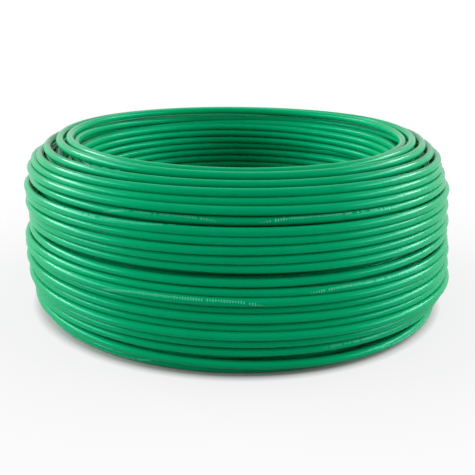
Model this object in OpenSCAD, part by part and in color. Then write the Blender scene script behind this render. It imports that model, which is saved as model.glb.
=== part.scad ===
// Free-standing coil of stranded, insulated building wire.
// Millimetres. Z is up, along the axis of the coil.
// The origin is the centre of the eye, on the surface that the coil stands on.

/* [Wire] */
// Diameter over the insulation
wire_d = 4.5; // [4.2:0.1:5.4]
// Diameter of one copper strand
strand_d = 0.59; // [0.45:0.01:0.65]
// Room between one strand and the next
strand_gap = 0.01; // [0.005:0.005:0.03]
// Room between the strands and the bore of the insulation
bore_gap = 0.02; // [0.01:0.01:0.06]

/* [Coil] */
// Diameter of the eye
eye_d = 186; // [140:1:260]
// Thickness of the coil, from the eye to the outermost turns
coil_w = 31; // [27:0.5:60]
// Height of the coil
coil_h = 99; // [85:1:140]
// Radius of the edge between the eye and the top
rim_r = 6; // [5.5:0.5:8]
// Width of the level crest on top
crest_w = 0.6; // [0.2:0.2:4]
// Height of the shoulder, from the outer wall to the crest
shoulder_h = 36; // [20:1:45]
// Width of the rounding between the floor and the outer wall
foot_w = 10.5; // [9.5:0.5:15]
// Height of the rounding between the floor and the outer wall
foot_h = 18; // [12:1:26]

/* [Outer layer] */
// Least room between neighbouring turns
turn_gap = 0.45; // [0.42:0.01:1]
// Room left over down the layer, which opens as the slack places
layer_slack = 6; // [3:0.5:12]
// Turn under which the main slack place opens, at the front
front_slack_turn = 12.5; // [8:0.5:15]
// Turns that hang loose under the bundle, at the foot
loose_turns = 1.3; // [0.8:0.1:2]
// How far a turn swings out from its seat as it goes round
sway = 0.5; // [0:0.1:1]
// Direction in which the layer starts, in degrees from X towards Y
start_azimuth = 265; // [240:5:290]

/* [Fits] */
// Room between the outer layer and the layers under it
seat_gap = 0.3; // [0.1:0.05:0.6]
// Room between the lowest turn and the floor
floor_gap = 0.1; // [0.05:0.05:0.4]
// Room between a turn, or an end, and the wall of the eye
eye_gap = 0.1; // [0.05:0.05:0.4]
// Room round the inner end in its groove
groove_gap = 0.25; // [0.1:0.05:0.6]

/* [Wire ends] */
// Length of each end, from the last turn to the cut
end_l = 14; // [8:1:24]
// How far the strands stand out of the cut insulation
strand_show = 0.8; // [0.2:0.1:2]
// Depth of the inner end on the wall of the eye, below the top of the coil
inner_end_depth = 25; // [20:1:60]
// Direction in which the inner end lies, in degrees from X towards Y
inner_end_azimuth = 262; // [230:1:300]
// Length of groove left open past the cut of the inner end
groove_l = 9; // [4:1:16]
// Level run of the wire where it comes up to start the outer layer
rise_run = 2; // [1:0.5:6]
// Length over which it comes up out of the layers below
rise_l = 11; // [10:1:16]
// Slope at which it comes up, in degrees
rise_slope = 30; // [28:1:40]

/* [Hidden] */
STRANDS = 19;
STRAND_NODES = [for (k = [1:STRANDS]) str("strand_", k < 10 ? "0" : "", k)];

INSULATION = [0.02, 0.60, 0.36];
SHADED_INSULATION = [0.01, 0.33, 0.18];
COPPER = [0.78, 0.45, 0.28];

ROUND = 180;       // facets of a full circle
WIRE_ROUND = 48;   // facets of a wire or a strand
ARC_STEPS = 14;    // steps along each rounded stretch of the section
SIDES = 6;         // sides of a turn's section
RINGS = 24;        // sections in one turn
FRONT = 270;       // direction of the front, in degrees from X towards Y

wire_r = wire_d / 2;
eye_r = eye_d / 2;
coil_r = eye_r + coil_w;
chord = cos(180 / RINGS);   // a turn's straight stretches dip this much inside its circle
turn_pitch = wire_d + turn_gap;

// ---- Conductor: one strand, six round it, then twelve ----

inner_ring = 6;
outer_ring = 12;
strand_pitch = strand_d + strand_gap;
outer_ring_r = 2 * cos(180 / outer_ring) * strand_pitch;
bore_d = 2 * outer_ring_r + strand_d + 2 * bore_gap;

function on_ring(r, azimuth) = [r * cos(azimuth), 0, r * sin(azimuth)];

function strand_place(k) =
    k == 1 ? [0, 0, 0]
    : k <= 1 + inner_ring ? on_ring(strand_pitch, 360 / inner_ring * k)
    : on_ring(outer_ring_r, 360 / outer_ring * (k + 0.5));

// ---- Section: the line that the middle of the outer layer follows, from the eye to the foot ----

// How much further two turns lie apart round a bend of this radius than straight across it.
function detour(radius) = 2 * radius * asin(turn_pitch / (2 * radius)) * PI / 180 / turn_pitch;

// Quarter of an ellipse about c, half axes a and b: [r, z, outward r, outward z, detour].
function arc(c, a, b, a0, a1) = [for (i = [0:ARC_STEPS])
    let (t = a0 + (a1 - a0) * i / ARC_STEPS,
         n = [b * cos(t), a * sin(t)],
         bend_r = pow(norm(n), 3) / (a * b))
    [c[0] + a * cos(t), c[1] + b * sin(t), n[0] / norm(n), n[1] / norm(n), detour(bend_r)]];

first_turn_r = (eye_r + eye_gap + wire_r) / chord;
first_turn_z = coil_h - rim_r;
rim_middle_r = rim_r - wire_r;
crest_r = first_turn_r + rim_middle_r + crest_w;
last_turn_r = coil_r - foot_w;
last_turn_z = wire_r + floor_gap;

line = concat(
    arc([first_turn_r + rim_middle_r, first_turn_z], rim_middle_r, rim_middle_r, 180, 90),
    arc([crest_r, coil_h - shoulder_h], coil_r - crest_r - wire_r, shoulder_h - wire_r, 90, 0),
    arc([last_turn_r, foot_h], foot_w - wire_r, foot_h - last_turn_z, 0, -90));

// Lengths down the line are straight distances between turns, so bends count for less.
function step_l(i) = let (a = line[i - 1], b = line[i])
    norm([b[0] - a[0], b[1] - a[1]]) * 2 / (a[4] + b[4]);
function run_l(i) = i < 1 ? 0 : run_l(i - 1) + step_l(i);
function column(c) = [for (i = [0:len(line) - 1]) [run_l(i), line[i][c]]];

line_l = run_l(len(line) - 1);
COLUMNS = [column(0), column(1), column(2), column(3)];

function line_at(s) = [for (c = COLUMNS) lookup(s, c)];

// ---- Outer layer: the middle of one unbroken wire ----

turns = floor((line_l - layer_slack) / turn_pitch - 0.5) + 0.5;
slack = line_l - turns * turn_pitch;
end_azimuth = start_azimuth + 360 * turns;

// Each slack place: the turn above it, its share of the slack, and the direction it opens to.
SLACK_PLACES = [
    [0.6, 6, start_azimuth],
    [3.5, 5, FRONT + 65],
    [6, 4, FRONT - 160],
    [9.6, 5, FRONT + 80],
    [front_slack_turn, 16, FRONT],
    [15, 5, FRONT + 170],
    [turns - loose_turns, 18, FRONT - 30],
    [turns - 1, 8, end_azimuth + 8]];

// 0 above the turn k and 1 below it, eased over one turn.
function eased(x) = x * x * (3 - 2 * x);
function below(u, k) = eased(min(1, max(0, u - k + 0.5)));
function openness(azimuth, towards) = pow((1 + cos(azimuth - towards)) / 2, 2);

// Distance down the section line after u turns.
function down_line(u) =
    let (azimuth = start_azimuth + 360 * u,
         open = [for (p = SLACK_PLACES) p[1] * openness(azimuth, p[2])],
         passed = [for (p = SLACK_PLACES) below(u, p[0])],
         every = [for (p = SLACK_PLACES) 1])
    turn_pitch * u + slack * (u + open * passed) / (turns + open * every);

// Middle of the wire after u turns. The first and last turns lie on their seats.
function wire_middle(u) =
    let (azimuth = start_azimuth + 360 * u,
         p = line_at(down_line(u)),
         out = sway * max(0, min(1, u - 1, turns - 1 - u)) * (1 + cos(290 * u)) / 2,
         r = p[0] + p[2] * out)
    [r * cos(azimuth), r * sin(azimuth), p[1] + p[3] * out];

function onward(azimuth) = [-sin(azimuth), cos(azimuth), 0];
function outward(azimuth) = [cos(azimuth), sin(azimuth), 0];

last_ring = turns * RINGS;
start_tip = wire_middle(0) - wire_d * onward(start_azimuth);
end_tip = wire_middle(turns) + wire_d * onward(end_azimuth);

// The middles of all sections with their directions, straight for one wire diameter at each end.
path = concat(
    [[start_tip, start_azimuth]],
    [for (i = [0:last_ring]) [wire_middle(i / RINGS), start_azimuth + 360 * i / RINGS]],
    [[end_tip, end_azimuth]]);

function gap_between(p, a, b) =
    let (ab = b - a, t = min(1, max(0, (p - a) * ab / (ab * ab))))
    norm(p - a - t * ab) - wire_d;

// Least room between the wire and any stretch of it that is half a turn or more further on.
function least_gap() = min([
    for (i = [0:len(path) - 2 - RINGS / 2], j = [i + RINGS / 2:len(path) - 2])
        gap_between(path[i][0], path[j][0], path[j + 1][0])]);

module tube(path) {
    points = [for (p = path, k = [0:SIDES - 1])
        p[0] + wire_r * (cos(360 * k / SIDES) * outward(p[1]) + [0, 0, sin(360 * k / SIDES)])];
    first_cap = [for (k = [1:SIDES - 2]) [0, k + 1, k]];
    last = (len(path) - 1) * SIDES;
    last_cap = [for (k = [1:SIDES - 2]) [last, last + k, last + k + 1]];
    sides = [for (i = [0:len(path) - 2], k = [0:SIDES - 1], half = [0, 1])
        let (a = i * SIDES, b = a + SIDES, n = (k + 1) % SIDES)
        half == 0 ? [a + k, a + n, b + n] : [a + k, b + n, b + k]];
    polyhedron(points, concat(first_cap, sides, last_cap));
}

module outer_layer() {
    echo(str(turns, " turns, least gap between them ", least_gap(), " mm"));
    color(INSULATION) tube(path);
}

// ---- Inner layers: a plain ring under the outer layer, flat where it stands ----

seat = wire_r + seat_gap;
ledge_z = first_turn_z - seat;
inner_end_z = coil_h - inner_end_depth;
floor_edge_r = last_turn_r * chord - seat;
ring_line = [for (p = line) [p[0] * chord - p[2] * seat, p[1] - p[3] * seat]];
ring_section = concat(
    [[eye_r, 0], [eye_r, ledge_z], [ring_line[0][0], ledge_z]],
    ring_line,
    [[floor_edge_r, last_turn_z + seat], [floor_edge_r, 0]]);

// The wire climbs here out of the layers below, and meets the start of the outer layer squarely.
module rising_wire() {
    translate(start_tip) rotate([0, 0, start_azimuth]) {
        rotate([90, 0, 0]) cylinder(h = rise_run, r = wire_r, $fn = WIRE_ROUND);
        translate([0, -rise_run, 0]) {
            sphere(r = wire_r, $fn = WIRE_ROUND);
            rotate([90 + rise_slope, 0, 0]) cylinder(h = rise_l, r = wire_r, $fn = WIRE_ROUND);
        }
    }
}

// Groove in the wall of the eye, where the inner end lies and the wire goes into the layers.
module inner_end_groove() {
    groove_h = wire_d + 2 * groove_gap;
    opening = wire_d;   // how far the cutter stands out into the eye
    depth = eye_gap + wire_d + groove_gap;
    rotate([0, 0, inner_end_azimuth])
        translate([eye_r - opening, -groove_l, inner_end_z - groove_h / 2])
            cube([opening + depth, groove_l + end_l, groove_h]);
}

module inner_layers() {
    color(SHADED_INSULATION) difference() {
        union() {
            rotate_extrude($fn = ROUND) polygon(ring_section);
            rising_wire();
        }
        inner_end_groove();
    }
}

// ---- Wire ends: each lies along Y, from where it leaves the layers to its cut at end_l ----

module at_outer_end() {
    translate(end_tip) rotate([0, 0, end_azimuth]) children();
}

module at_inner_end() {
    rotate([0, 0, inner_end_azimuth])
        translate([eye_r + eye_gap + wire_r, end_l, inner_end_z])
            rotate([0, 0, 180]) children();
}

module round_bar(d, l) {
    rotate([-90, 0, 0]) cylinder(h = l, d = d, $fn = WIRE_ROUND);
}

module end_insulation() {
    cutter = 1;   // how far the bore's cutter passes each face
    color(INSULATION) difference() {
        round_bar(wire_d, end_l);
        translate([0, -cutter, 0]) round_bar(bore_d, end_l + 2 * cutter);
    }
}

module outer_end_insulation() {
    at_outer_end() end_insulation();
}

module inner_end_insulation() {
    at_inner_end() end_insulation();
}

// One strand, which comes out at both ends of the wire.
module strand(k) {
    color(COPPER) {
        at_outer_end() translate(strand_place(k)) round_bar(strand_d, end_l + strand_show);
        at_inner_end() translate(strand_place(k)) round_bar(strand_d, end_l + strand_show);
    }
}

inner_layers();
outer_layer();
outer_end_insulation();
inner_end_insulation();
for (k = [1:STRANDS]) strand(k);
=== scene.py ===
"""Free-standing coil of green building wire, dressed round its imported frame.

The wire is wound slice by slice: each new slice rests on the ones laid before it, in three
stages. The core goes up and down the eye in level layers, the under layer climbs from the foot
to the rim, and the cover comes down again over the rim, the shoulder and the outer wall. The
whole wire is built as three runs, which meet the two cut ends of the frame.

Metres. Z is up, along the axis of the coil, and the front is towards -Y.
"""

import math

import bpy
import numpy as np
from bpy.props import FloatProperty, FloatVectorProperty, IntProperty, PointerProperty
from mathutils import Matrix, Vector


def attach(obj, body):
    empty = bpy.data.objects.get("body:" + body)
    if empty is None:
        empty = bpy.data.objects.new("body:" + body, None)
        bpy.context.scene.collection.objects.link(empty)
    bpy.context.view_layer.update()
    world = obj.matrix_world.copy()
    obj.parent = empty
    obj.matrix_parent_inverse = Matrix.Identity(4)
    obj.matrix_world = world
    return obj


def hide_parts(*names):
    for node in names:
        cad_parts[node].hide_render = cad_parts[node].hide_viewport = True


bl_info = {
    "name": "Building Wire Coil",
    "version": (1, 0, 0),
    "blender": (4, 5, 0),
    "location": "View3D > Sidebar > Wire Coil",
    "description": "Winds a coil of insulated building wire and sets its studio",
    "category": "Add Mesh",
}

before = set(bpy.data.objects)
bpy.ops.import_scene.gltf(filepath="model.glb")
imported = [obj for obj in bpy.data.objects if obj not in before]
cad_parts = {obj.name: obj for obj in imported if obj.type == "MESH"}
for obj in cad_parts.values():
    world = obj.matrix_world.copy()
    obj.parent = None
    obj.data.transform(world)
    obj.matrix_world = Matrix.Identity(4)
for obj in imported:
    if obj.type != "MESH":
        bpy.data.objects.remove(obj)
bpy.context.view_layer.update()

STRANDS = [f"strand_{k:02d}" for k in range(1, 20)]
END_INSULATION = ["outer_end_insulation", "inner_end_insulation"]

SLICES = 96  # section planes in one turn
BLOCK = SLICES // 4  # slices laid at a time
AHEAD = 14  # slices that the taut wire feels to each side
FRONT = 270.0  # azimuth of the front, in degrees from X towards Y

OUTER_STRANDS, LAY_LENGTH = 12.0, 0.055  # strands that show faintly through the insulation
WHITE_FROM, WHITER_FROM = 0.119, 0.13  # radii outside which the floor turns white


# ---- Settings ----


class WireSettings(bpy.types.PropertyGroup):
    diameter: FloatProperty(
        name="Diameter", description="Over the insulation",
        default=0.0045, min=0.002, max=0.012, unit="LENGTH",
    )
    sides: IntProperty(
        name="Sides", description="Sides of the wire's section", default=12, min=6, max=32,
    )
    end_length: FloatProperty(
        name="End length", description="Length of each cut end of the frame",
        default=0.014, min=0.005, max=0.03, unit="LENGTH",
    )
    give: FloatProperty(
        name="Give", description="How far the taut wire can dip over one slice",
        default=0.000055, min=0.00001, max=0.0005, precision=6, unit="LENGTH",
    )


class CoilSettings(bpy.types.PropertyGroup):
    eye_radius: FloatProperty(
        name="Eye radius", description="Radius of the open eye",
        default=0.093, min=0.05, max=0.2, unit="LENGTH",
    )
    thickness: FloatProperty(
        name="Thickness", description="From the eye to the outermost turns",
        default=0.031, min=0.02, max=0.08, unit="LENGTH",
    )
    height: FloatProperty(
        name="Height", description="Height of the coil",
        default=0.099, min=0.06, max=0.2, unit="LENGTH",
    )
    rim_radius: FloatProperty(
        name="Rim radius", description="Radius of the edge between the eye and the top",
        default=0.006, min=0.005, max=0.01, unit="LENGTH",
    )
    crest_width: FloatProperty(
        name="Crest width", description="Width of the level crest",
        default=0.0006, min=0.0, max=0.01, unit="LENGTH",
    )
    shoulder_height: FloatProperty(
        name="Shoulder height", description="From the outer wall to the crest",
        default=0.036, min=0.02, max=0.05, unit="LENGTH",
    )
    foot_width: FloatProperty(
        name="Foot width", description="Width of the rounding between floor and wall",
        default=0.0105, min=0.0095, max=0.015, unit="LENGTH",
    )
    foot_height: FloatProperty(
        name="Foot height", description="Height of the rounding between floor and wall",
        default=0.018, min=0.012, max=0.026, unit="LENGTH",
    )
    pitch: FloatProperty(
        name="Pitch", description="From one turn to the next in the core",
        default=0.00464, min=0.0045, max=0.006, precision=5, unit="LENGTH",
    )
    layer_depth: FloatProperty(
        name="Layer depth", description="From one layer to the next",
        default=0.00405, min=0.0038, max=0.0046, precision=5, unit="LENGTH",
    )
    cover_turns: FloatProperty(
        name="Cover turns", description="Turns in the cover, to about half a turn",
        default=23.8, min=23.4, max=24.2,
    )
    inner_end_depth: FloatProperty(
        name="Inner end depth", description="Below the top of the coil",
        default=0.025, min=0.02, max=0.06, unit="LENGTH",
    )
    inner_end_azimuth: FloatProperty(
        name="Inner end azimuth", description="Where the cut of the inner end lies, in degrees",
        default=262.0,
    )
    outer_end_azimuth: FloatProperty(
        name="Outer end azimuth", description="Where the cover ends at the foot, in degrees",
        default=85.0,
    )
    seed: IntProperty(name="Seed", description="Which winding of many", default=3, min=0)


class FinishSettings(bpy.types.PropertyGroup):
    insulation: FloatVectorProperty(
        name="Insulation", description="Green of the insulation",
        default=(0.0003, 0.31, 0.12), subtype="COLOR", min=0, max=1,
    )
    insulation_worn: FloatVectorProperty(
        name="Rubbed insulation", description="Green where the insulation is rubbed",
        default=(0.001, 0.38, 0.15), subtype="COLOR", min=0, max=1,
    )
    gleam: FloatVectorProperty(
        name="Gleam", description="Tint of what the insulation reflects head-on",
        default=(0.0, 1.0, 0.80), subtype="COLOR", min=0, max=1,
    )
    ink: FloatVectorProperty(
        name="Ink", description="Colour of the tick marks along the wire",
        default=(0.16, 0.62, 0.46), subtype="COLOR", min=0, max=1,
    )
    copper: FloatVectorProperty(
        name="Copper", description="Colour of the strands",
        default=(0.90, 0.47, 0.27), subtype="COLOR", min=0, max=1,
    )
    floor: FloatVectorProperty(
        name="Floor", description="Colour of the studio floor",
        default=(0.50, 0.50, 0.50), subtype="COLOR", min=0, max=1,
    )


class StudioSettings(bpy.types.PropertyGroup):
    distance: FloatProperty(
        name="Distance", description="From the camera to the axis of the coil",
        default=0.4657, min=0.2, max=3, unit="LENGTH",
    )
    camera_height: FloatProperty(
        name="Camera height", description="Above the floor",
        default=0.1823, min=0, max=2, unit="LENGTH",
    )
    tilt: FloatProperty(
        name="Tilt", description="How far the camera looks down, in degrees", default=16.16,
    )
    roll: FloatProperty(
        name="Roll", description="How far the camera leans to its left, in degrees", default=0.66,
    )
    lens: FloatProperty(
        name="Lens", description="Focal length in millimetres on a 36 mm sensor", default=59.65,
    )
    drop: FloatProperty(
        name="Drop", description="Vertical shift of the lens", default=-0.048,
    )
    top_power: FloatProperty(
        name="Top light", description="Power of the light overhead", default=1.5, unit="POWER",
    )
    side_power: FloatProperty(
        name="Side lights", description="Power of each light at the side", default=27.5,
        unit="POWER",
    )
    front_power: FloatProperty(
        name="Front light", description="Power of the light in front", default=2.6, unit="POWER",
    )
    sky: FloatProperty(
        name="Sky", description="Strength of the even light all round", default=0.15,
    )


# ---- Section: the line that the middle of the cover follows, from the eye to the foot ----


class Section:
    """Places along the coil's outline: radius, height and the outward direction."""

    RIM_STEPS, SHOULDER_STEPS, FOOT_STEPS = 24, 90, 60

    def __init__(self, wire, coil, inset=0.0):
        wire_r = wire.diameter / 2
        outer_r = coil.eye_radius + coil.thickness
        rim_r = coil.rim_radius - wire_r
        rim_middle = coil.eye_radius + wire_r + rim_r
        rim = self.arc(
            (rim_middle, coil.height - coil.rim_radius), rim_r, rim_r, 180, 90, self.RIM_STEPS
        )
        rim[:, 2:] = 0, 1  # a turn on the rim rests on what is straight under it
        crest_r = rim_middle + coil.crest_width
        shoulder = self.arc(
            (crest_r, coil.height - coil.shoulder_height),
            outer_r - crest_r - wire_r, coil.shoulder_height - wire_r, 90, 0, self.SHOULDER_STEPS,
        )
        foot = self.arc(
            (outer_r - coil.foot_width, coil.foot_height),
            coil.foot_width - wire_r, coil.foot_height - wire_r, 0, -90, self.FOOT_STEPS,
        )
        places = np.concatenate([rim, shoulder, foot])
        places[:, :2] -= inset * places[:, 2:]
        steps = np.linalg.norm(np.diff(places[:, :2], axis=0), axis=1)
        self.down = np.concatenate([[0], np.cumsum(steps)])
        self.places = places
        self.length = self.down[-1]
        self.rim_length = self.down[self.RIM_STEPS]

    @staticmethod
    def arc(centre, a, b, start, stop, steps):
        """Part of an ellipse with half axes a and b, from one angle in degrees to another."""
        t = np.radians(np.linspace(start, stop, steps))
        out = np.stack([b * np.cos(t), a * np.sin(t)], 1)
        out /= np.linalg.norm(out, axis=1, keepdims=True)
        return np.column_stack([centre[0] + a * np.cos(t), centre[1] + b * np.sin(t), out])

    def at(self, down):
        """Radius, height and outward direction at these lengths down the line."""
        r, z, out_r, out_z = (np.interp(down, self.down, column) for column in self.places.T)
        size = np.hypot(out_r, out_z)
        return r, z, out_r / size, out_z / size

    def down_at_height(self, z):
        """Length down the line to this height on the outer wall or the foot."""
        outside = slice(self.RIM_STEPS + 1, None)
        return float(np.interp(-z, -self.places[outside, 1], self.down[outside]))


# ---- Winding ----


def eased(x):
    """0 below 0, 1 above 1, and a smooth step between."""
    x = np.clip(x, 0, 1)
    return x * x * (3 - 2 * x)


def drift(rng, count, span):
    """Slow random waves of unit size, each about span slices long."""
    knots = rng.standard_normal(int(count / span) + 3)
    x = np.arange(count) / span
    i = x.astype(int)
    f = eased(x - i)
    return knots[i] * (1 - f) + knots[i + 1] * f


def blurred(values, reach):
    """values averaged over reach neighbours on each side, nearer ones more."""
    weights = np.hanning(2 * reach + 3)[1:-1]
    padded = np.pad(values, reach, mode="edge")
    return np.convolve(padded, weights / weights.sum(), mode="valid")


class Winding:
    """The middle of one long wire, laid slice by slice round the axis.

    Slice n lies at first_azimuth + 360 n / SLICES degrees, so the slices n, n - SLICES,
    n - 2 SLICES and so on share a section plane, where each wire is a circle.
    """

    MOST_TURNS = 170
    CORE_PASSES = 6  # up and down the eye, before the under layer
    DWELL = 46  # slices that the guide waits at the top or bottom before it turns back
    COVER_START = 100.0  # azimuth where the under layer ends and the cover starts
    PRESSED = 0.975  # how near two turns are meant to lie, in diameters: the insulation gives
    ROOM = 0.0001  # between the wire and the eye's wall, and between the wire and the floor
    SINK = 0.002  # how far a turn of the outer layers may sink below its line
    REACH_CORE, REACH_UNDER = 0.0016, 0.0012  # sideways, into a hollow
    HOLD_CORE, HOLD_UNDER = 350.0, 400.0  # against sliding, per metre
    LEAD = 0.25  # radians over which the inner end's lead dies away
    OVER_CORE = 2.3  # layers that lie over the core at the shoulder
    NEXT_LAYER = 0.0012  # how much further out a core layer counts for its limit at the top
    # How far inside the foot the core starts to turn back a layer higher, and over what width.
    FOOT_LIFT, FOOT_FADE = 0.005, 0.003
    UNDER_FOOT, UNDER_PITCH = 0.0105, 0.0046  # where the under layer starts, and its pitch
    UNDER_JOINING, COVER_JOINING = 40, 24  # slices over which these layers reach their line
    LANDING = 44  # slices over which the cover comes down to the outer end
    # Waves in each stage's guide: how many slices long they are, and how large.
    CORE_WAVER, UNDER_WAVER, COVER_WAVER = (70, 0.00018), (40, 0.00048), (40, 0.0003)

    BACK = FRONT - 180
    # Places where the cover has slack: the turn that the gap is centred on, how many turns share
    # it, its share, the azimuth from the front that it opens to, and how narrowly it opens.
    SLACK_PLACES = [
        (2.5, 5, 4.0, 0, 0),
        (2.8, 1, 2.5, -85, 3),
        (13.0, 1, 5.5, -10, 2),
        (14.1, 1, 3.0, 55, 4),
        (21.0, 1, 2.0, 5, 3),
        (22.0, 1, 4.0, 25, 2),
        (22.9, 1, 4.0, -50, 3),
    ]
    EVEN_SLACK = 0.15  # share of the slack that each turn takes, wherever it lies
    TIGHT = 0.93  # pitch of the cover without its slack, in diameters
    # Turns that stand proud: the turn, how many to each side, the azimuth from the front, how
    # far to each side, and the height in millimetres.
    PROUD = [
        (3, 3, -85, 60, 1.2),
        (2, 3, 85, 60, 1.4),
        (17, 4, 78, 50, 2.4),
        (22, 1, 36, 26, 1.8),
    ]
    # Turns that sink where they face the front, and how deep in millimetres.
    SUNK = {5: 0.6, 9: 0.7, 16: 0.7, 21: 1.0}
    # Degrees from the front beyond which they don't sink, and over which they start to.
    SUNK_WITHIN, SUNK_FADE = 120, 40
    # How readily a turn of the cover gives way: a wave along it, and more if it isn't sunk.
    YIELDING_WAVER, UNSUNK_YIELDS = (60, 0.0004), 0.0015
    EASINGS = 24  # times that the turns of the cover move off their neighbours
    MOST_EASED = 0.0026  # how far out they may get in that

    def __init__(self, wire, coil):
        self.wire, self.coil = wire, coil
        self.wire_r = wire.diameter / 2
        self.clear = wire.diameter * self.PRESSED
        self.mandrel = coil.eye_radius + self.ROOM + self.wire_r
        self.lowest = self.wire_r + self.ROOM
        self.first_azimuth = coil.inner_end_azimuth + math.degrees(
            math.atan2(wire.end_length, self.mandrel)
        )
        self.rng = np.random.default_rng(coil.seed)
        self.r = np.zeros(self.MOST_TURNS * SLICES)
        self.z = np.zeros(self.MOST_TURNS * SLICES)
        self.out = np.zeros((self.MOST_TURNS * SLICES, 2))
        self.laid = 0
        self.wind_core()
        self.core_end = self.laid
        self.wind_under_layer()
        self.under_end = self.laid
        self.wind_cover()

    def azimuth(self, n):
        return self.first_azimuth + 360.0 * np.asarray(n) / SLICES

    def waver(self, count, waves):
        """Random waves for count slices."""
        span, size = waves
        return drift(self.rng, count, span) * size

    def earlier(self, n):
        """Radius and height of the wires laid in the section planes of slices n."""
        back = np.arange(1, int(n.max()) // SLICES + 1)[:, None] * SLICES
        index = n[None] - back
        there = (index >= 0) & (index < self.laid)
        index = np.where(there, index, 0)
        return np.where(there, self.r[index], -9.0), np.where(there, self.z[index], -9.0)

    def clearance(self, n, r, z, out_r, out_z):
        """How far out from (r, z) the wire first clears all that is laid there."""
        near_r, near_z = self.earlier(n)
        near_r, near_z = near_r - r, near_z - z
        along = near_r * out_r + near_z * out_z
        aside = near_r**2 + near_z**2 - along**2
        room = np.sqrt(np.maximum(self.clear**2 - aside, 0))
        touching = aside < self.clear**2
        return np.where(touching, along + room, 0.0).max(axis=0, initial=0.0)

    def lay(self, count, guide, reach, hold):
        """Lays count slices. guide(n) gives the places they start from and the way out."""
        n = np.arange(self.laid - AHEAD, self.laid + count + AHEAD)
        r, z, out_r, out_z = guide(n)
        tries = np.linspace(-reach, reach, 9)
        costs = []
        for a in tries:
            low = np.maximum(z - a * out_r, self.lowest)
            costs.append(self.clearance(n, r + a * out_z, low, out_r, out_z) + hold * a * a)
        aside = blurred(tries[np.argmin(costs, axis=0)], 7)
        r, z = r + aside * out_z, np.maximum(z - aside * out_r, self.lowest)
        height = self.clearance(n, r, z, out_r, out_z)
        taut = self.taut(height)
        kept, new = slice(AHEAD, AHEAD + count), slice(self.laid, self.laid + count)
        self.r[new] = (r + taut * out_r)[kept]
        self.z[new] = np.maximum((z + taut * out_z)[kept], self.lowest)
        self.out[new] = np.stack([out_r, out_z], 1)[kept]
        self.laid += count

    def top_limit(self, r):
        """Where a core layer at this radius turns back at the top."""
        coil, deep = self.coil, self.OVER_CORE * self.coil.layer_depth + self.wire_r
        crest_r = coil.eye_radius + coil.rim_radius + coil.crest_width
        across = coil.eye_radius + coil.thickness - crest_r - deep
        x = min(max((r - crest_r) / across, 0), 1)
        shoulder = coil.shoulder_height - deep
        return coil.height - coil.shoulder_height + shoulder * math.sqrt(1 - x * x)

    def bottom_limit(self, r):
        """Where a core layer at this radius turns back at the bottom."""
        foot_r = self.coil.eye_radius + self.coil.thickness - self.coil.foot_width
        lifted = float(eased((r - foot_r + self.FOOT_LIFT) / self.FOOT_FADE))
        return self.lowest + self.coil.layer_depth * lifted

    def wind_core(self):
        """Passes up and down the eye, from the inner end to the foot."""
        waver = self.waver(self.r.size, self.CORE_WAVER)
        heights, turned = [], 0
        z = self.coil.height - self.coil.inner_end_depth
        up, wait, level_r = 1, 0, self.mandrel
        # The end stands off the wall by its own straightness, and the lead takes it back.
        off = math.hypot(self.mandrel, self.wire.end_length) - self.mandrel
        slope = off / self.LEAD + self.wire.end_length
        while turned < self.CORE_PASSES:
            while len(heights) < self.laid + BLOCK + AHEAD:
                if wait:
                    wait -= 1
                else:
                    z += up * self.coil.pitch / SLICES
                    if up > 0:
                        limit = self.top_limit(level_r + self.NEXT_LAYER)
                    else:
                        limit = self.bottom_limit(level_r)
                    if (z - limit) * up >= 0:
                        z, up, wait, turned = limit, -up, self.DWELL, turned + 1
                heights.append(z)
            programme = np.array(heights)

            def guide(n):
                n = np.clip(n, 0, len(programme) - 1)
                angle = np.radians(360.0 * n / SLICES)
                lead = (off + slope * angle) * np.exp(-angle / self.LEAD)
                aside = waver[n] * np.clip(n / SLICES, 0, 1)
                level = np.maximum(programme[n] + aside, self.lowest)
                return self.mandrel + lead, level, np.ones(n.size), np.zeros(n.size)

            reach = self.REACH_CORE if self.laid >= 2 * SLICES else 0.0
            self.lay(BLOCK, guide, reach, self.HOLD_CORE)
            level_r = float(np.median(self.r[self.laid - BLOCK : self.laid]))

    def joined(self, start, places, slices):
        """Guide places that set out from where the wire is and reach the line over slices."""
        last_r, last_z = self.r[start - 1], self.z[start - 1]
        last_out = self.out[start - 1]

        def guide(n):
            r, z, out_r, out_z = places(n)
            r, z = r - self.SINK * out_r, z - self.SINK * out_z
            w = eased((n - start) / slices)
            r, z = last_r * (1 - w) + r * w, last_z * (1 - w) + z * w
            out_r, out_z = last_out[0] * (1 - w) + out_r * w, last_out[1] * (1 - w) + out_z * w
            size = np.hypot(out_r, out_z)
            return r, z, out_r / size, out_z / size

        return guide

    def wind_under_layer(self):
        """One layer up over the core, from the foot to the rim."""
        section = Section(self.wire, self.coil, self.coil.layer_depth)
        begin, start = section.down_at_height(self.UNDER_FOOT), self.laid
        waver = self.waver(self.r.size, self.UNDER_WAVER)
        turns = (begin - section.rim_length) / self.UNDER_PITCH

        def places(n):
            u = np.maximum(n - start, 0) / SLICES
            down = begin - self.UNDER_PITCH * u + waver[np.maximum(n, 0)]
            return section.at(np.clip(down, section.rim_length, None))

        guide = self.joined(start, places, self.UNDER_JOINING)
        over = (self.azimuth(start) + 360 * turns - self.COVER_START) % 360
        count = int(round((turns - over / 360) * SLICES))
        while count:
            step = min(BLOCK, count)
            self.lay(step, guide, self.REACH_UNDER, self.HOLD_UNDER)
            count -= step

    def cover_down(self, front, u, length, turns):
        """Length down the section line after u turns, at this azimuth from the front."""
        tight = self.TIGHT * self.wire.diameter
        passed, opened = self.EVEN_SLACK * u, self.EVEN_SLACK * turns
        for turn, sharing, share, towards, narrow in self.SLACK_PLACES:
            here = share * ((1 + np.cos(np.radians(front - towards))) / 2) ** narrow
            passed = passed + here * eased((u - turn) / sharing + 0.5)
            opened = opened + here
        return tight * u + (length - tight * turns) * passed / opened

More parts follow.
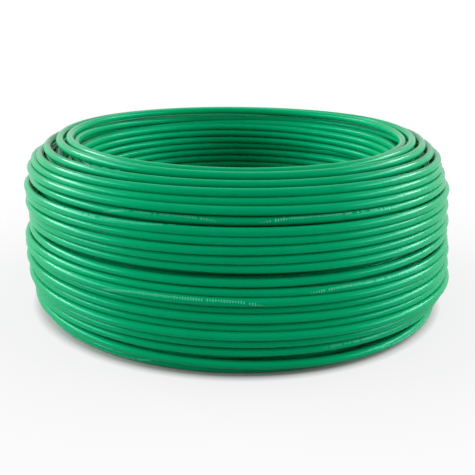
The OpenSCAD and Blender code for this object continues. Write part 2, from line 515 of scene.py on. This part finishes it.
    def wind_cover(self):
        """The outermost layer, from the rim down to the outer end at the foot."""
        section, start = Section(self.wire, self.coil), self.laid
        to_end = (self.coil.outer_end_azimuth - self.azimuth(start)) / 360 % 1
        turns = math.floor(self.coil.cover_turns - to_end + 0.5) + to_end
        count = int(round(turns * SLICES))
        n = np.arange(start, start + count)
        u = (n - start) / SLICES
        azimuth = self.azimuth(n)
        lap = np.floor((azimuth - self.BACK) / 360).astype(int)
        lap -= lap[0]
        front = (azimuth - self.BACK) % 360 - 180
        waver = self.waver(count, self.COVER_WAVER) * np.clip(np.minimum(u, turns - u), 0, 1)
        down = self.cover_down(front, u, section.length, turns) + waver
        places = self.joined(start, lambda n: section.at(down[n - start]), self.COVER_JOINING)
        r, z, out_r, out_z = places(n)
        level = self.taut(self.clearance(n, r, z, out_r, out_z))
        height = np.zeros(count)
        for turn, near, middle, wide, proud in self.PROUD:
            here = eased(1.5 - np.abs(lap + (front - middle) / 360 - turn) / near)
            here *= eased(1.5 - np.abs(front - middle) / wide)
            height = np.maximum(height, here * proud / 1000)
        facing = eased((self.SUNK_WITHIN - np.abs(front)) / self.SUNK_FADE)
        sunk = np.array([self.SUNK.get(k, 0.0) for k in range(lap[-1] + 1)])[lap] * facing
        joining = eased((n - start) / self.COVER_JOINING)
        offset = np.maximum(level, joining * (self.SINK + height - 0.001 * sunk))
        yielding = height + self.waver(count, self.YIELDING_WAVER) + self.UNSUNK_YIELDS * (1 - sunk)
        yielding[u < 1] = -1.0
        offset = blurred(offset, 6)
        for _ in range(self.EASINGS):
            offset = self.eased_apart(r, z, out_r, out_z, offset, yielding)
            offset = np.minimum(offset, np.maximum(level, self.SINK + height + self.MOST_EASED))
        self.r[n] = r + offset * out_r
        self.z[n] = np.maximum(z + offset * out_z, self.lowest)
        self.out[n] = np.stack([out_r, out_z], 1)
        self.laid += count
        self.land(section)

    def eased_apart(self, r, z, out_r, out_z, offset, yielding):
        """Moves the turns that yield a little way off the turns beside them."""
        count = len(r)
        at_r, at_z = r + offset * out_r, z + offset * out_z
        need = offset.copy()
        for step in (-SLICES, SLICES):
            n = np.arange(max(0, -step), min(count, count - step))
            m = n + step
            near_r, near_z = at_r[m] - r[n], at_z[m] - z[n]
            along = near_r * out_r[n] + near_z * out_z[n]
            aside = near_r**2 + near_z**2 - along**2
            room = np.sqrt(np.maximum(self.clear**2 - aside, 0))
            touching = (aside < self.clear**2) & (np.abs(along - offset[n]) < room)
            yields = (yielding[n] > yielding[m]) & touching
            need[n] = np.where(yields, np.maximum(need[n], along + room), need[n])
        moved = offset + 0.5 * (need - offset)
        return np.maximum(offset, blurred(moved, 3))

    def taut(self, height):
        """The line of a taut wire over these heights."""
        taut = height.copy()
        for k in range(1, AHEAD + 1):
            dip = self.wire.give * k * k
            taut[k:] = np.maximum(taut[k:], height[:-k] - dip)
            taut[:-k] = np.maximum(taut[:-k], height[k:] - dip)
        return blurred(taut, 2)

    def land(self, section):
        """Brings the last stretch down to the outer end of the frame."""
        end = slice(self.laid - self.LANDING, self.laid)
        w = eased(np.arange(1, self.LANDING + 1) / self.LANDING)
        goal_r, goal_z = section.places[-1, 0], self.lowest
        self.r[end] = self.r[end] * (1 - w) + goal_r * w
        self.z[end] = self.z[end] * (1 - w) + goal_z * w

    def slice_at(self, lap, front):
        """Slice of the cover's turn lap at this azimuth from the front."""
        first = math.floor((self.azimuth(self.under_end) - self.BACK) / 360)
        azimuth = self.BACK + 360 * (lap + first) + 180 + front
        return (azimuth - self.first_azimuth) / 360 * SLICES

    def middles(self):
        """The middle of every slice as points, with the frame's end of the wire at the last."""
        n = np.arange(self.laid)
        azimuth = np.radians(self.azimuth(n))
        r, z = self.r[: self.laid], self.z[: self.laid]
        points = np.stack([r * np.cos(azimuth), r * np.sin(azimuth), z], 1)
        end = math.radians(self.coil.outer_end_azimuth)
        goal = self.coil.eye_radius + self.coil.thickness - self.coil.foot_width
        onward = np.array([-math.sin(end), math.cos(end), 0.0])
        tip = goal * np.array([math.cos(end), math.sin(end), 0.0]) + [0, 0, self.lowest]
        points[-1] = tip
        return np.concatenate([points, [tip + onward * self.wire.diameter]])


# ---- Shader expressions ----


class Value:
    """A number or a factor in a finish. An operator on it adds its Math node."""

    def __init__(self, finish, socket):
        self.finish, self.socket = finish, socket

    def __add__(self, other):
        return self.finish.math("ADD", self, other)

    __radd__ = __add__

    def __sub__(self, other):
        return self.finish.math("SUBTRACT", self, other)

    def __mul__(self, other):
        return self.finish.math("MULTIPLY", self, other)

    def __truediv__(self, other):
        return self.finish.math("DIVIDE", self, other)

    def __lt__(self, other):
        return self.finish.math("LESS_THAN", self, other)

    def __gt__(self, other):
        return self.finish.math("GREATER_THAN", self, other)


class Finish:
    """One material, built from nodes round its surface shader."""

    def __init__(self, name):
        self.material = bpy.data.materials.new(name)
        self.material.use_nodes = True
        self.tree = self.material.node_tree
        self.tree.nodes.clear()
        self.output = self.node("ShaderNodeOutputMaterial")

    def node(self, kind, settings=None, inputs=None):
        """A node of this kind, with its settings first and then its inputs."""
        node = self.tree.nodes.new(kind)
        for name, value in (settings or {}).items():
            setattr(node, name, value)
        for name, value in (inputs or {}).items():
            self.feed(node.inputs[name], value)
        return node

    def feed(self, socket, value):
        if isinstance(value, Value):
            value = value.socket
        if isinstance(value, bpy.types.NodeSocket):
            self.tree.links.new(value, socket)
        elif socket.type == "RGBA" and len(value) == 3:
            socket.default_value = (*value, 1.0)
        else:
            socket.default_value = value

    def value(self, node, output=0):
        return Value(self, node.outputs[output])

    def math(self, operation, *operands):
        node = self.node("ShaderNodeMath", {"operation": operation})
        for socket, operand in zip(node.inputs, operands):
            self.feed(socket, operand)
        return self.value(node)

    def clamped(self, value):
        """value, but never below 0 or above 1."""
        return self.math("MINIMUM", self.math("MAXIMUM", value, 0.0), 1.0)

    def mixed(self, factor, first, second):
        """Colour between first and second."""
        node = self.node("ShaderNodeMix", {"data_type": "RGBA"}, {0: factor, 6: first, 7: second})
        return node.outputs[2]

    def noise(self, vector, scale, detail=2.0, roughness=0.5):
        settings = {"noise_dimensions": "3D"}
        inputs = {"Vector": vector, "Scale": scale, "Detail": detail, "Roughness": roughness}
        return self.value(self.node("ShaderNodeTexNoise", settings, inputs))

    def surface(self, shader):
        self.feed(self.output.inputs["Surface"], shader.outputs[0])


def insulation_finish(name, colours, wire, wound):
    """Extruded insulation. On the wound wire it has tick marks in ink and rubbed streaks."""
    finish = Finish(name)
    place = finish.node("ShaderNodeTexCoord").outputs["Object"]
    cloud = finish.noise(place, scale=26.0, detail=3.0)
    grain = finish.noise(place, scale=2600.0)
    rub = finish.noise(place, scale=210.0, detail=4.0, roughness=0.65)
    worn = finish.math("SMOOTH_MIN", (rub - 0.52) * 3.2, 1.0, 0.1)
    worn = finish.math("MAXIMUM", worn, 0.0)
    tone = finish.math("MAXIMUM", 0.0, finish.math("MINIMUM", 1.0, (cloud - 0.35) * 2.2))
    colour = finish.mixed(worn * 0.25 + tone * 0.35, colours.insulation, colours.insulation_worn)
    roughness = 0.2 + worn * 0.1 + (grain - 0.5) * 0.05
    height = grain * 0.1 + rub * 0.4
    if wound:
        lay = finish.node("ShaderNodeAttribute", {"attribute_name": "lay"}).outputs["Vector"]
        parts = finish.node("ShaderNodeSeparateXYZ", inputs={"Vector": lay})
        along = finish.value(parts, "X")
        turn = finish.math("ARCTAN2", finish.value(parts, "Z"), finish.value(parts, "Y"))
        inked = finish.value(
            finish.node("ShaderNodeAttribute", {"attribute_name": "inked"}), "Fac"
        )
        ticks = tick_marks(finish, along, turn * (wire.diameter / 2)) * inked
        colour = finish.mixed(ticks * 0.8, colour, colours.ink)
        roughness = roughness + ticks * 0.2
        twist = along * (2 * math.pi / LAY_LENGTH)
        strands = finish.math("SINE", turn * OUTER_STRANDS + twist)
        height = height + strands * 0.3
    bump = finish.node(
        "ShaderNodeBump", inputs={"Height": height, "Strength": 0.2, "Distance": 0.00005}
    )
    finish.surface(
        finish.node(
            "ShaderNodeBsdfPrincipled",
            inputs={
                "Base Color": colour, "Roughness": roughness, "Normal": bump.outputs[0],
                "IOR": 1.25, "Specular Tint": (*colours.gleam, 1.0),
            },
        )
    )
    return finish.material


def tick_marks(finish, along, across):
    """1 in the short strokes printed along the wire, and 0 round them."""
    step, begin, end = 0.0013, 0.2, 0.62  # from one stroke to the next, and where it lies in that
    left_out = 0.12  # share of the strokes
    shortest, longer = 0.0003, 0.0005  # half the height of a stroke, and how much more it may be
    cell = finish.math("FLOOR", along / step)
    chance = finish.value(
        finish.node("ShaderNodeTexWhiteNoise", {"noise_dimensions": "1D"}, {"W": cell})
    )
    inside = along / step - cell
    stroke = (inside > begin) * (inside < end) * (chance > left_out)
    tall = shortest + chance * longer
    return stroke * (finish.math("ABSOLUTE", across) < tall)


def copper_finish(name, colours):
    """Bare drawn copper, a little dulled in places."""
    finish = Finish(name)
    place = finish.node("ShaderNodeTexCoord").outputs["Object"]
    dull = finish.noise(place, scale=900.0, detail=3.0)
    grain = finish.noise(place, scale=6000.0)
    darker = tuple(0.55 * c for c in colours.copper)
    bump = finish.node(
        "ShaderNodeBump", inputs={"Height": grain, "Strength": 0.3, "Distance": 0.00003}
    )
    finish.surface(
        finish.node(
            "ShaderNodeBsdfPrincipled",
            inputs={
                "Base Color": finish.mixed(dull, colours.copper, darker),
                "Roughness": 0.22 + dull * 0.2,
                "Metallic": 1.0,
                "Normal": bump.outputs[0],
            },
        )
    )
    return finish.material


# ---- Runs of wire ----


def rings(points, wire_r, sides, first_way, last_way):
    """Corners of the sections round points, one row a point, and each row's angles."""
    ways = np.gradient(points, axis=0)
    ways[0], ways[-1] = first_way, last_way
    ways /= np.linalg.norm(ways, axis=1, keepdims=True)
    outward = points * [1, 1, 0]
    outward -= ways * (outward * ways).sum(1, keepdims=True)
    outward /= np.linalg.norm(outward, axis=1, keepdims=True)
    upward = np.cross(outward, ways)
    angle = 2 * math.pi * np.arange(sides) / sides
    corners = points[:, None] + wire_r * (
        np.cos(angle)[None, :, None] * outward[:, None]
        + np.sin(angle)[None, :, None] * upward[:, None]
    )
    return corners, angle


def run_mesh(name, points, ways, wire, along, print_angle, inked):
    """One run of the wire as a closed tube, with its length, its print and its own map."""
    count, sides = len(points), wire.sides
    corners, angle = rings(points, wire.diameter / 2, sides, *ways)
    row, side = np.meshgrid(np.arange(count - 1), np.arange(sides), indexing="ij")
    a, b = row * sides + side, row * sides + (side + 1) % sides
    quads = np.stack([a, b, b + sides, a + sides], -1).reshape(-1, 4)
    caps = [list(range(sides))[::-1], list(range((count - 1) * sides, count * sides))]
    mesh = bpy.data.meshes.new(name)
    mesh.from_pydata(corners.reshape(-1, 3).tolist(), [], quads.tolist() + caps)
    mesh.shade_smooth()

    turned = angle[None] - print_angle[:, None]
    lengths = np.broadcast_to(along[:, None], turned.shape)
    lay = np.stack([lengths, np.cos(turned), np.sin(turned)], -1)
    mesh.attributes.new("lay", "FLOAT_VECTOR", "POINT").data.foreach_set(
        "vector", lay.astype(np.float32).ravel()
    )
    mesh.attributes.new("inked", "FLOAT", "POINT").data.foreach_set(
        "value", np.repeat(inked, sides).astype(np.float32)
    )

    # Each turn is one strip of the map, with the wire's length across it.
    strips = math.ceil((count - 1) / SLICES)
    margin = 0.04
    cap_place, cap_size = 0.999, 0.0004  # the cut faces, in a corner of the map
    strip, across = row // SLICES, row % SLICES
    u0, u1 = across / SLICES, (across + 1) / SLICES
    v0, v1 = side / sides, (side + 1) / sides
    v0, v1 = (((strip + margin + v * (1 - 2 * margin)) / strips) for v in (v0, v1))
    tube = np.stack([u0, v0, u0, v1, u1, v1, u1, v0], -1).reshape(-1, 2)
    caps_uv = np.tile([[cap_place, cap_place]], (2 * sides, 1)) + cap_size * np.stack(
        [np.cos(np.tile(angle, 2)), np.sin(np.tile(angle, 2))], 1
    )
    mesh.uv_layers.new(name="OFBake").data.foreach_set(
        "uv", np.concatenate([tube, caps_uv]).astype(np.float32).ravel()
    )
    mesh.update()
    piece = bpy.data.objects.new(name, mesh)
    bpy.context.scene.collection.objects.link(piece)
    return piece


# Stretches of the cover whose print faces outwards: the turn, the azimuth of the middle from
# the front, half the width and how strong the ink is.
PRINTED = [
    (8, -35, 26, 0.7),
    (7, -18, 13, 0.6),
    (7, 23, 16, 1.0),
    (15, -12, 19, 0.8),
    (14, 35, 17, 0.9),
    (21, 28, 8, 0.5),
    (23, -42, 24, 0.8),
    (22, 50, 14, 0.9),
    (1, 172, 14, 0.6),
]
# In the eye, one stretch follows another at this step, in metres, with its length and ink.
PRINT_STEP, PRINT_LENGTH, PRINT_STRENGTH = 1.05, 0.27, 0.6
PRINT_TURNS, PRINT_SPAN = 2.2, 150  # how far the print turns round the wire, over these slices
PRINT_LEAN = 0.6  # radians that the print of a stretch leans up from straight outwards


def printing(winding, along):
    """The side of the wire that its print is on, and where there is print, slice by slice."""
    n = np.arange(len(along))
    rng = np.random.default_rng(winding.coil.seed + 1)
    out = winding.out[: winding.laid]
    facing = np.arctan2(np.append(out[:, 1], 0.0), np.append(out[:, 0], 1.0))
    side = facing + PRINT_TURNS * drift(rng, n.size, PRINT_SPAN)
    inked = ((along % PRINT_STEP) < PRINT_LENGTH) * PRINT_STRENGTH
    inked[n >= winding.under_end] = 0.0
    for lap, front, half, strength in PRINTED:
        apart = np.abs(n - winding.slice_at(lap, front)) * 360 / SLICES
        near = eased(1.5 - apart / half)
        side = side * (1 - near) + (facing + PRINT_LEAN) * near
        inked[apart < half] = strength
    return side, inked


# ---- Operators ----


class COIL_OT_wind(bpy.types.Operator):
    """Winds the whole wire and builds its three runs"""

    bl_idname = "coil.wind"
    bl_label = "Wind the wire"

    def execute(self, context):
        scene = context.scene
        wire, coil = scene.coil_wire, scene.coil_coil
        winding = Winding(wire, coil)
        points = winding.middles()
        steps = np.linalg.norm(np.diff(points, axis=0), axis=1)
        along = np.concatenate([[0], np.cumsum(steps)])
        side, inked = printing(winding, along)
        print(f"{winding.laid / SLICES:.2f} turns, {along[-1]:.2f} m of wire")
        finish = insulation_finish("insulation_wound", scene.coil_finish, wire, wound=True)

        begin, end = math.radians(coil.inner_end_azimuth), math.radians(coil.outer_end_azimuth)
        first_way = (-math.sin(begin), math.cos(begin), 0.0)
        last_way = (-math.sin(end), math.cos(end), 0.0)
        middle = winding.core_end // 2
        cuts = [0, middle, winding.core_end, len(points) - 1]
        stands_for = [["inner_layers"], ["inner_layers"], ["outer_layer"]]
        for k, nodes in enumerate(stands_for):
            first, last = cuts[k], cuts[k + 1]
            rows = slice(first, last + 1)
            ways = [
                first_way if first == 0 else points[first + 1] - points[first - 1],
                last_way if last == len(points) - 1 else points[last + 1] - points[last - 1],
            ]
            name = f"wire_run_{k + 1}"
            piece = run_mesh(name, points[rows], ways, wire, along[rows], side[rows], inked[rows])
            piece.data.materials.append(finish)
            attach(piece, "root")
            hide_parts(*nodes)
        return {"FINISHED"}


class COIL_OT_ends(bpy.types.Operator):
    """Finishes the two cut ends of the wire"""

    bl_idname = "coil.ends"
    bl_label = "Finish the cut ends"

    def execute(self, context):
        scene = context.scene
        insulation = insulation_finish(
            "insulation_cut", scene.coil_finish, scene.coil_wire, wound=False
        )
        copper = copper_finish("copper_strand", scene.coil_finish)
        for names, material in ((END_INSULATION, insulation), (STRANDS, copper)):
            for name in names:
                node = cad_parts[name]
                node.data.materials.clear()
                node.data.materials.append(material)
        return {"FINISHED"}


class COIL_OT_studio(bpy.types.Operator):
    """Sets the floor, the lights, the even light all round and the camera"""

    bl_idname = "coil.studio"
    bl_label = "Set the studio"

    def execute(self, context):
        scene, studio = context.scene, context.scene.coil_studio
        self.camera(scene, studio)
        self.floor(scene)
        self.sky(scene, studio.sky)
        aim = Vector((0, 0, 0.05))
        self.light(scene, "light_top", (0, 0.1, 1.3), aim, (1.5, 1.5), 0, studio.top_power)
        for name, side, power in (("left", -1, 1.1), ("right", 1, 0.95)):
            place, roll = (1.15 * side, 0.05, 0.56), 20 * side
            power *= studio.side_power
            self.light(scene, f"light_{name}", place, aim, (1.7, 0.34), roll, power)
        place = (0, -0.7, 1.2)
        self.light(scene, "light_front", place, aim, (1.6, 0.2), 0, studio.front_power)
        scene.view_settings.view_transform = "Standard"
        return {"FINISHED"}

    @staticmethod
    def camera(scene, studio):
        data = bpy.data.cameras.new("camera")
        data.sensor_width, data.lens, data.shift_y = 36.0, studio.lens, studio.drop
        data.clip_start, data.clip_end = 0.01, 50.0
        camera = bpy.data.objects.new("camera", data)
        camera.matrix_world = (
            Matrix.Translation((0, -studio.distance, studio.camera_height))
            @ Matrix.Rotation(math.radians(90 - studio.tilt), 4, "X")
            @ Matrix.Rotation(math.radians(studio.roll), 4, "Z")
        )
        scene.collection.objects.link(camera)
        scene.camera = camera

    @staticmethod
    def floor(scene):
        finish = Finish("studio_floor")
        place = finish.node("ShaderNodeTexCoord").outputs["Object"]
        cloud = finish.noise(place, scale=3.0)
        colour = scene.coil_finish.floor
        paler = tuple(min(1.0, 1.02 * c) for c in colour)
        matte = finish.node(
            "ShaderNodeBsdfPrincipled",
            inputs={
                "Base Color": finish.mixed(cloud, colour, paler), "Roughness": 0.9,
                "Specular IOR Level": 0.0,
            },
        )
        white = finish.node("ShaderNodeEmission", inputs={"Color": (1, 1, 1), "Strength": 1.0})
        seen = finish.value(finish.node("ShaderNodeLightPath"), "Is Camera Ray")
        distance = finish.value(
            finish.node("ShaderNodeVectorMath", {"operation": "LENGTH"}, {0: place}), "Value"
        )
        beside = finish.clamped((distance - WHITE_FROM) * 160.0)
        away = finish.clamped((distance - WHITER_FROM) * 6.0)
        whiteness = seen * beside * (0.78 + away * 0.22)
        finish.surface(
            finish.node(
                "ShaderNodeMixShader",
                inputs={0: whiteness, 1: matte.outputs[0], 2: white.outputs[0]},
            )
        )
        half = 6.0
        mesh = bpy.data.meshes.new("studio_floor")
        corners = [(-half, -half, 0), (half, -half, 0), (half, half, 0), (-half, half, 0)]
        mesh.from_pydata(corners, [], [(0, 1, 2, 3)])
        mesh.materials.append(finish.material)
        floor = bpy.data.objects.new("studio_floor", mesh)
        scene.collection.objects.link(floor)

    @staticmethod
    def sky(scene, strength):
        world = bpy.data.worlds.new("studio_sky")
        world.use_nodes = True
        nodes, links = world.node_tree.nodes, world.node_tree.links
        nodes.clear()
        rays = nodes.new("ShaderNodeLightPath")
        output = nodes.new("ShaderNodeOutputWorld")
        even, white, mix = (
            nodes.new(kind)
            for kind in ("ShaderNodeBackground", "ShaderNodeBackground", "ShaderNodeMixShader")
        )
        even.inputs["Strength"].default_value = strength
        for background in (even, white):
            background.inputs["Color"].default_value = (1, 1, 1, 1)
        straight = nodes.new("ShaderNodeMath")
        straight.operation = "MAXIMUM"
        links.new(rays.outputs["Is Camera Ray"], straight.inputs[0])
        reflected = nodes.new("ShaderNodeMath")
        reflected.operation = "MAXIMUM"
        links.new(rays.outputs["Is Glossy Ray"], reflected.inputs[0])
        links.new(rays.outputs["Is Transmission Ray"], reflected.inputs[1])
        links.new(reflected.outputs[0], straight.inputs[1])
        links.new(straight.outputs[0], mix.inputs[0])
        links.new(even.outputs[0], mix.inputs[1])
        links.new(white.outputs[0], mix.inputs[2])
        links.new(mix.outputs[0], output.inputs["Surface"])
        scene.world = world

    @staticmethod
    def light(scene, name, place, aim, size, roll, power):
        data = bpy.data.lights.new(name, "AREA")
        data.shape, data.size, data.size_y, data.energy = "RECTANGLE", *size, power
        light = bpy.data.objects.new(name, data)
        light.location = place
        turn = (aim - Vector(place)).to_track_quat("-Z", "Y").to_matrix()
        light.rotation_euler = (turn @ Matrix.Rotation(math.radians(roll), 3, "Z")).to_euler()
        scene.collection.objects.link(light)


class COIL_PT_panel(bpy.types.Panel):
    bl_idname = "COIL_PT_panel"
    bl_label = "Wire Coil"
    bl_space_type = "VIEW_3D"
    bl_region_type = "UI"
    bl_category = "Wire Coil"

    def draw(self, context):
        layout, scene = self.layout, context.scene
        for title, group in (
            ("Wire", scene.coil_wire), ("Coil", scene.coil_coil),
            ("Finish", scene.coil_finish), ("Studio", scene.coil_studio),
        ):
            box = layout.box()
            box.label(text=title)
            for name in group.bl_rna.properties.keys():
                if name not in {"rna_type", "name"}:
                    box.prop(group, name)
        for operator in OPERATORS:
            layout.operator(operator.bl_idname)


SETTINGS = {
    "coil_wire": WireSettings, "coil_coil": CoilSettings,
    "coil_finish": FinishSettings, "coil_studio": StudioSettings,
}
OPERATORS = [COIL_OT_wind, COIL_OT_ends, COIL_OT_studio]
CLASSES = [*SETTINGS.values(), *OPERATORS, COIL_PT_panel]


def register():
    for cls in CLASSES:
        bpy.utils.register_class(cls)
    for name, group in SETTINGS.items():
        setattr(bpy.types.Scene, name, PointerProperty(type=group))


def unregister():
    for name in SETTINGS:
        delattr(bpy.types.Scene, name)
    for cls in reversed(CLASSES):
        bpy.utils.unregister_class(cls)


def main():
    register()
    bpy.ops.coil.studio()
    bpy.ops.coil.wind()
    bpy.ops.coil.ends()


if __name__ == "__main__":
    main()
